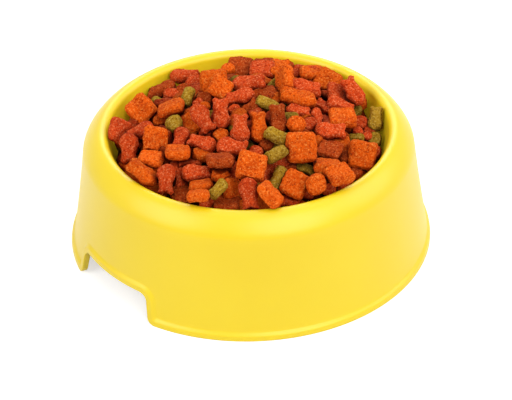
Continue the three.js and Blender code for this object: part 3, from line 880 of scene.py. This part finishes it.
def scatter_tree():
    """Kibbles scattered over a bed, clear of those that already lie there."""
    tree = bpy.data.node_groups.new("Scattered kibbles", "GeometryNodeTree")
    face = tree.interface
    face.new_socket("Bed", in_out="INPUT", socket_type="NodeSocketGeometry")
    for name, kind in (
        ("Kibbles", "NodeSocketCollection"),
        ("Lying there", "NodeSocketObject"),
        ("Spacing", "NodeSocketFloat"),
        ("Clearance", "NodeSocketFloat"),
        ("Tilt", "NodeSocketFloat"),
        ("Share from", "NodeSocketFloat"),
        ("Share to", "NodeSocketFloat"),
        ("Seed", "NodeSocketInt"),
        ("Material", "NodeSocketMaterial"),
    ):
        face.new_socket(name, in_out="INPUT", socket_type=kind)
    face.new_socket("Heap", in_out="OUTPUT", socket_type="NodeSocketGeometry")
    given = add_node(tree, "NodeGroupInput").outputs
    result = add_node(tree, "NodeGroupOutput").inputs
    link = tree.links.new

    spread = add_node(tree, "GeometryNodeDistributePointsOnFaces", distribute_method="POISSON")
    spread.inputs["Density Max"].default_value = BURIED_DENSITY
    link(given["Bed"], spread.inputs["Mesh"])
    link(given["Spacing"], spread.inputs["Distance Min"])
    link(given["Seed"], spread.inputs["Seed"])

    there = add_node(tree, "GeometryNodeObjectInfo")
    link(given["Lying there"], there.inputs["Object"])
    near = add_node(tree, "GeometryNodeProximity", target_element="FACES")
    link(there.outputs["Geometry"], near.inputs[0])
    blocked = math_node(tree, "LESS_THAN", near.outputs["Distance"], given["Clearance"])
    free = add_node(tree, "GeometryNodeDeleteGeometry", domain="POINT")
    link(spread.outputs["Points"], free.inputs["Geometry"])
    link(blocked, free.inputs["Selection"])

    draw = add_node(tree, "FunctionNodeRandomValue", data_type="FLOAT")
    link(given["Seed"], draw.inputs["Seed"])
    low = math_node(tree, "LESS_THAN", draw.outputs[1], given["Share from"])
    high = math_node(tree, "GREATER_THAN", draw.outputs[1], given["Share to"])
    mine = add_node(tree, "GeometryNodeDeleteGeometry", domain="POINT")
    link(free.outputs["Geometry"], mine.inputs["Geometry"])
    link(math_node(tree, "MAXIMUM", low, high), mine.inputs["Selection"])

    shapes = add_node(tree, "GeometryNodeCollectionInfo")
    shapes.inputs["Separate Children"].default_value = True
    link(given["Kibbles"], shapes.inputs["Collection"])
    lean = add_node(tree, "FunctionNodeRandomValue", data_type="FLOAT_VECTOR")
    tilt = add_node(tree, "ShaderNodeCombineXYZ", Z=math.pi)
    link(given["Tilt"], tilt.inputs["X"])
    link(given["Tilt"], tilt.inputs["Y"])
    back = add_node(tree, "ShaderNodeVectorMath", operation="SCALE")
    back.inputs["Scale"].default_value = -1
    link(tilt.outputs[0], back.inputs[0])
    link(back.outputs[0], lean.inputs[0])
    link(tilt.outputs[0], lean.inputs[1])
    link(given["Seed"], lean.inputs["Seed"])
    turned = add_node(tree, "FunctionNodeRotateRotation", rotation_space="LOCAL")
    link(spread.outputs["Rotation"], turned.inputs[0])
    link(lean.outputs[0], turned.inputs[1])
    pick = add_node(tree, "FunctionNodeRandomValue", data_type="INT")
    pick.inputs[5].default_value = 97  # wraps round the shapes
    link(given["Seed"], pick.inputs["Seed"])
    put = add_node(tree, "GeometryNodeInstanceOnPoints")
    put.inputs["Pick Instance"].default_value = True
    link(mine.outputs["Geometry"], put.inputs["Points"])
    link(shapes.outputs[0], put.inputs["Instance"])
    link(pick.outputs[2], put.inputs["Instance Index"])
    link(turned.outputs[0], put.inputs["Rotation"])
    plain = add_node(tree, "GeometryNodeRealizeInstances")
    link(put.outputs[0], plain.inputs[0])
    finish = add_node(tree, "GeometryNodeSetMaterial")
    link(plain.outputs[0], finish.inputs[0])
    link(given["Material"], finish.inputs["Material"])
    link(finish.outputs[0], result["Heap"])
    return tree


def bed_mesh(sink):
    """Top of the bed, open at its edge, lowered by a depth."""
    rings, steps = 14, 48
    edge = BED_RADIUS - BED_MARGIN
    vertices = [(0, 0, bed_top(0) - sink)]
    for ring in range(1, rings + 1):
        radius = edge * ring / rings
        for i in range(steps):
            turn = 2 * math.pi * i / steps
            spot = (radius * math.cos(turn), radius * math.sin(turn), bed_top(radius) - sink)
            vertices.append(spot)
    faces = [(0, 1 + i, 1 + (i + 1) % steps) for i in range(steps)]
    for ring in range(rings - 1):
        low, high = 1 + ring * steps, 1 + (ring + 1) * steps
        for i in range(steps):
            j = (i + 1) % steps
            faces.append((low + i, high + i, high + j, low + j))
    mesh = bpy.data.meshes.new("bed")
    mesh.from_pydata(vertices, [], faces)
    return mesh


def sample_kibbles(random):
    """Shapes for the buried kibbles, coarser than those on top."""
    samples = bpy.data.collections.new("buried shapes")
    for kind, copies in BURIED_COPIES.items():
        for i in range(copies):
            mesh = kibble_mesh(kind)
            shift = Vector((random.uniform(0, 1), random.uniform(0, 1), i))
            size = Matrix.Scale(random.uniform(*BURIED_SIZES), 4)
            mesh.transform(Matrix.Translation(shift) @ size)
            piece = crumble(linked(f"sample_{kind}_{i}", mesh), voxel=BURIED_VOXEL)
            piece.data.transform(Matrix.Translation(-shift))
            # painted shade: a darker tone for lying deep in the heap
            set_tone(piece.data, random.uniform(*BURIED_SHADE_TONES))
            collection.objects.unlink(piece)
            samples.objects.link(piece)
    return samples


def socket_name(tree, name):
    for item in tree.interface.items_tree:
        if item.name == name and item.in_out == "INPUT":
            return item.identifier
    raise KeyError(name)


def scatter_buried(lying, random):
    """Kibbles under and among those on top, one piece for each colour."""
    tree = scatter_tree()
    samples = sample_kibbles(random)
    guard = joined("guard", [linked("copy", piece.data.copy()) for piece in lying])
    made = []
    for colour, (low, high) in SHARES.items():
        pieces = []
        for sink, spacing, clearance, tilt, seed in LAYERS:
            piece = linked("layer", bed_mesh(sink))
            scatter = piece.modifiers.new("scatter", "NODES")
            scatter.node_group = tree
            for name, value in (
                ("Kibbles", samples),
                ("Lying there", guard),
                ("Spacing", spacing),
                ("Clearance", clearance),
                ("Tilt", math.radians(tilt)),
                ("Share from", low),
                ("Share to", high),
                ("Seed", seed),
                ("Material", KIBBLE_MATERIALS[colour]),
            ):
                scatter[socket_name(tree, name)] = value
            pieces.append(settled(piece))
        piece = joined(f"buried_{colour}", pieces)
        piece.data.shade_smooth()
        fit_out(piece, KIBBLE_MATERIALS[colour])
        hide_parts("kibble_bed")
        made.append(piece)
    for piece in [guard, *samples.objects]:
        bpy.data.objects.remove(piece)
    bpy.data.collections.remove(samples)
    return made


def make_core():
    """Dark sheet of painted shade that closes the view down between the kibbles."""
    piece = linked("packed_crumbs", merged_copy("kibble_bed"))
    for vertex in piece.data.vertices:
        vertex.co.z = min(vertex.co.z, bed_top(vertex.co.xy.length) - CORE_SINK)
    set_tone(piece.data, CORE_SHADE_TONE)
    fit_out(piece, KIBBLE_MATERIALS["brown"])
    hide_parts("kibble_bed")


# Stage


def seen_directly(tree):
    """1 for rays from the camera, and for those that are reflected or let through."""
    path = add_node(tree, "ShaderNodeLightPath").outputs
    seen = math_node(tree, "MAXIMUM", path["Is Camera Ray"], path["Is Glossy Ray"])
    return math_node(tree, "MAXIMUM", seen, path["Is Transmission Ray"])


def make_floor():
    mesh = bpy.data.meshes.new("floor")
    corners = [(-1, -1), (1, -1), (1, 1), (-1, 1)]
    spots = [(x * FLOOR_HALF, y * FLOOR_HALF, -FLOOR_GAP) for x, y in corners]
    mesh.from_pydata(spots, [], [(0, 1, 2, 3)])
    floor = linked("floor", mesh)
    material, tree, shader = new_material("floor_white")
    shader.inputs["Base Color"].default_value = (FLOOR_GREY, FLOOR_GREY, FLOOR_GREY, 1)
    shader.inputs["Roughness"].default_value = 0.9
    shader.inputs["Specular IOR Level"].default_value = 0.1
    shader.inputs["Emission Color"].default_value = (1, 1, 1, 1)
    glow = math_node(tree, "MULTIPLY", seen_directly(tree), FLOOR_GLOW)
    tree.links.new(glow, shader.inputs["Emission Strength"])
    mesh.materials.append(material)


def make_backdrop():
    """White where it is seen, and a soft fill on the object."""
    world = bpy.data.worlds.new("studio")
    bpy.context.scene.world = world
    world.use_nodes = True
    tree = world.node_tree
    backdrop = tree.nodes["Background"]
    backdrop.inputs["Color"].default_value = (1, 1, 1, 1)
    rest = math_node(tree, "MULTIPLY", seen_directly(tree), 1 - FILL)
    tree.links.new(math_node(tree, "ADD", FILL, rest), backdrop.inputs["Strength"])


def add_softbox(name, place, size, power):
    data = bpy.data.lights.new(name, "AREA")
    data.shape = "DISK"
    data.size = size
    data.energy = power
    lamp = linked(name, data)
    lamp.location = place
    lamp.rotation_euler = (BOWL_MIDDLE - Vector(place)).to_track_quat("-Z", "Y").to_euler()


random = np.random.default_rng(SEED)
make_floor()
make_backdrop()
for softbox in SOFTBOXES:
    add_softbox(*softbox)
make_bowl()
lying = dress_cad_kibbles(random)
lying += lay_between(random)
scatter_buried(lying, random)
make_core()

bpy.context.scene.view_settings.view_transform = "Standard"
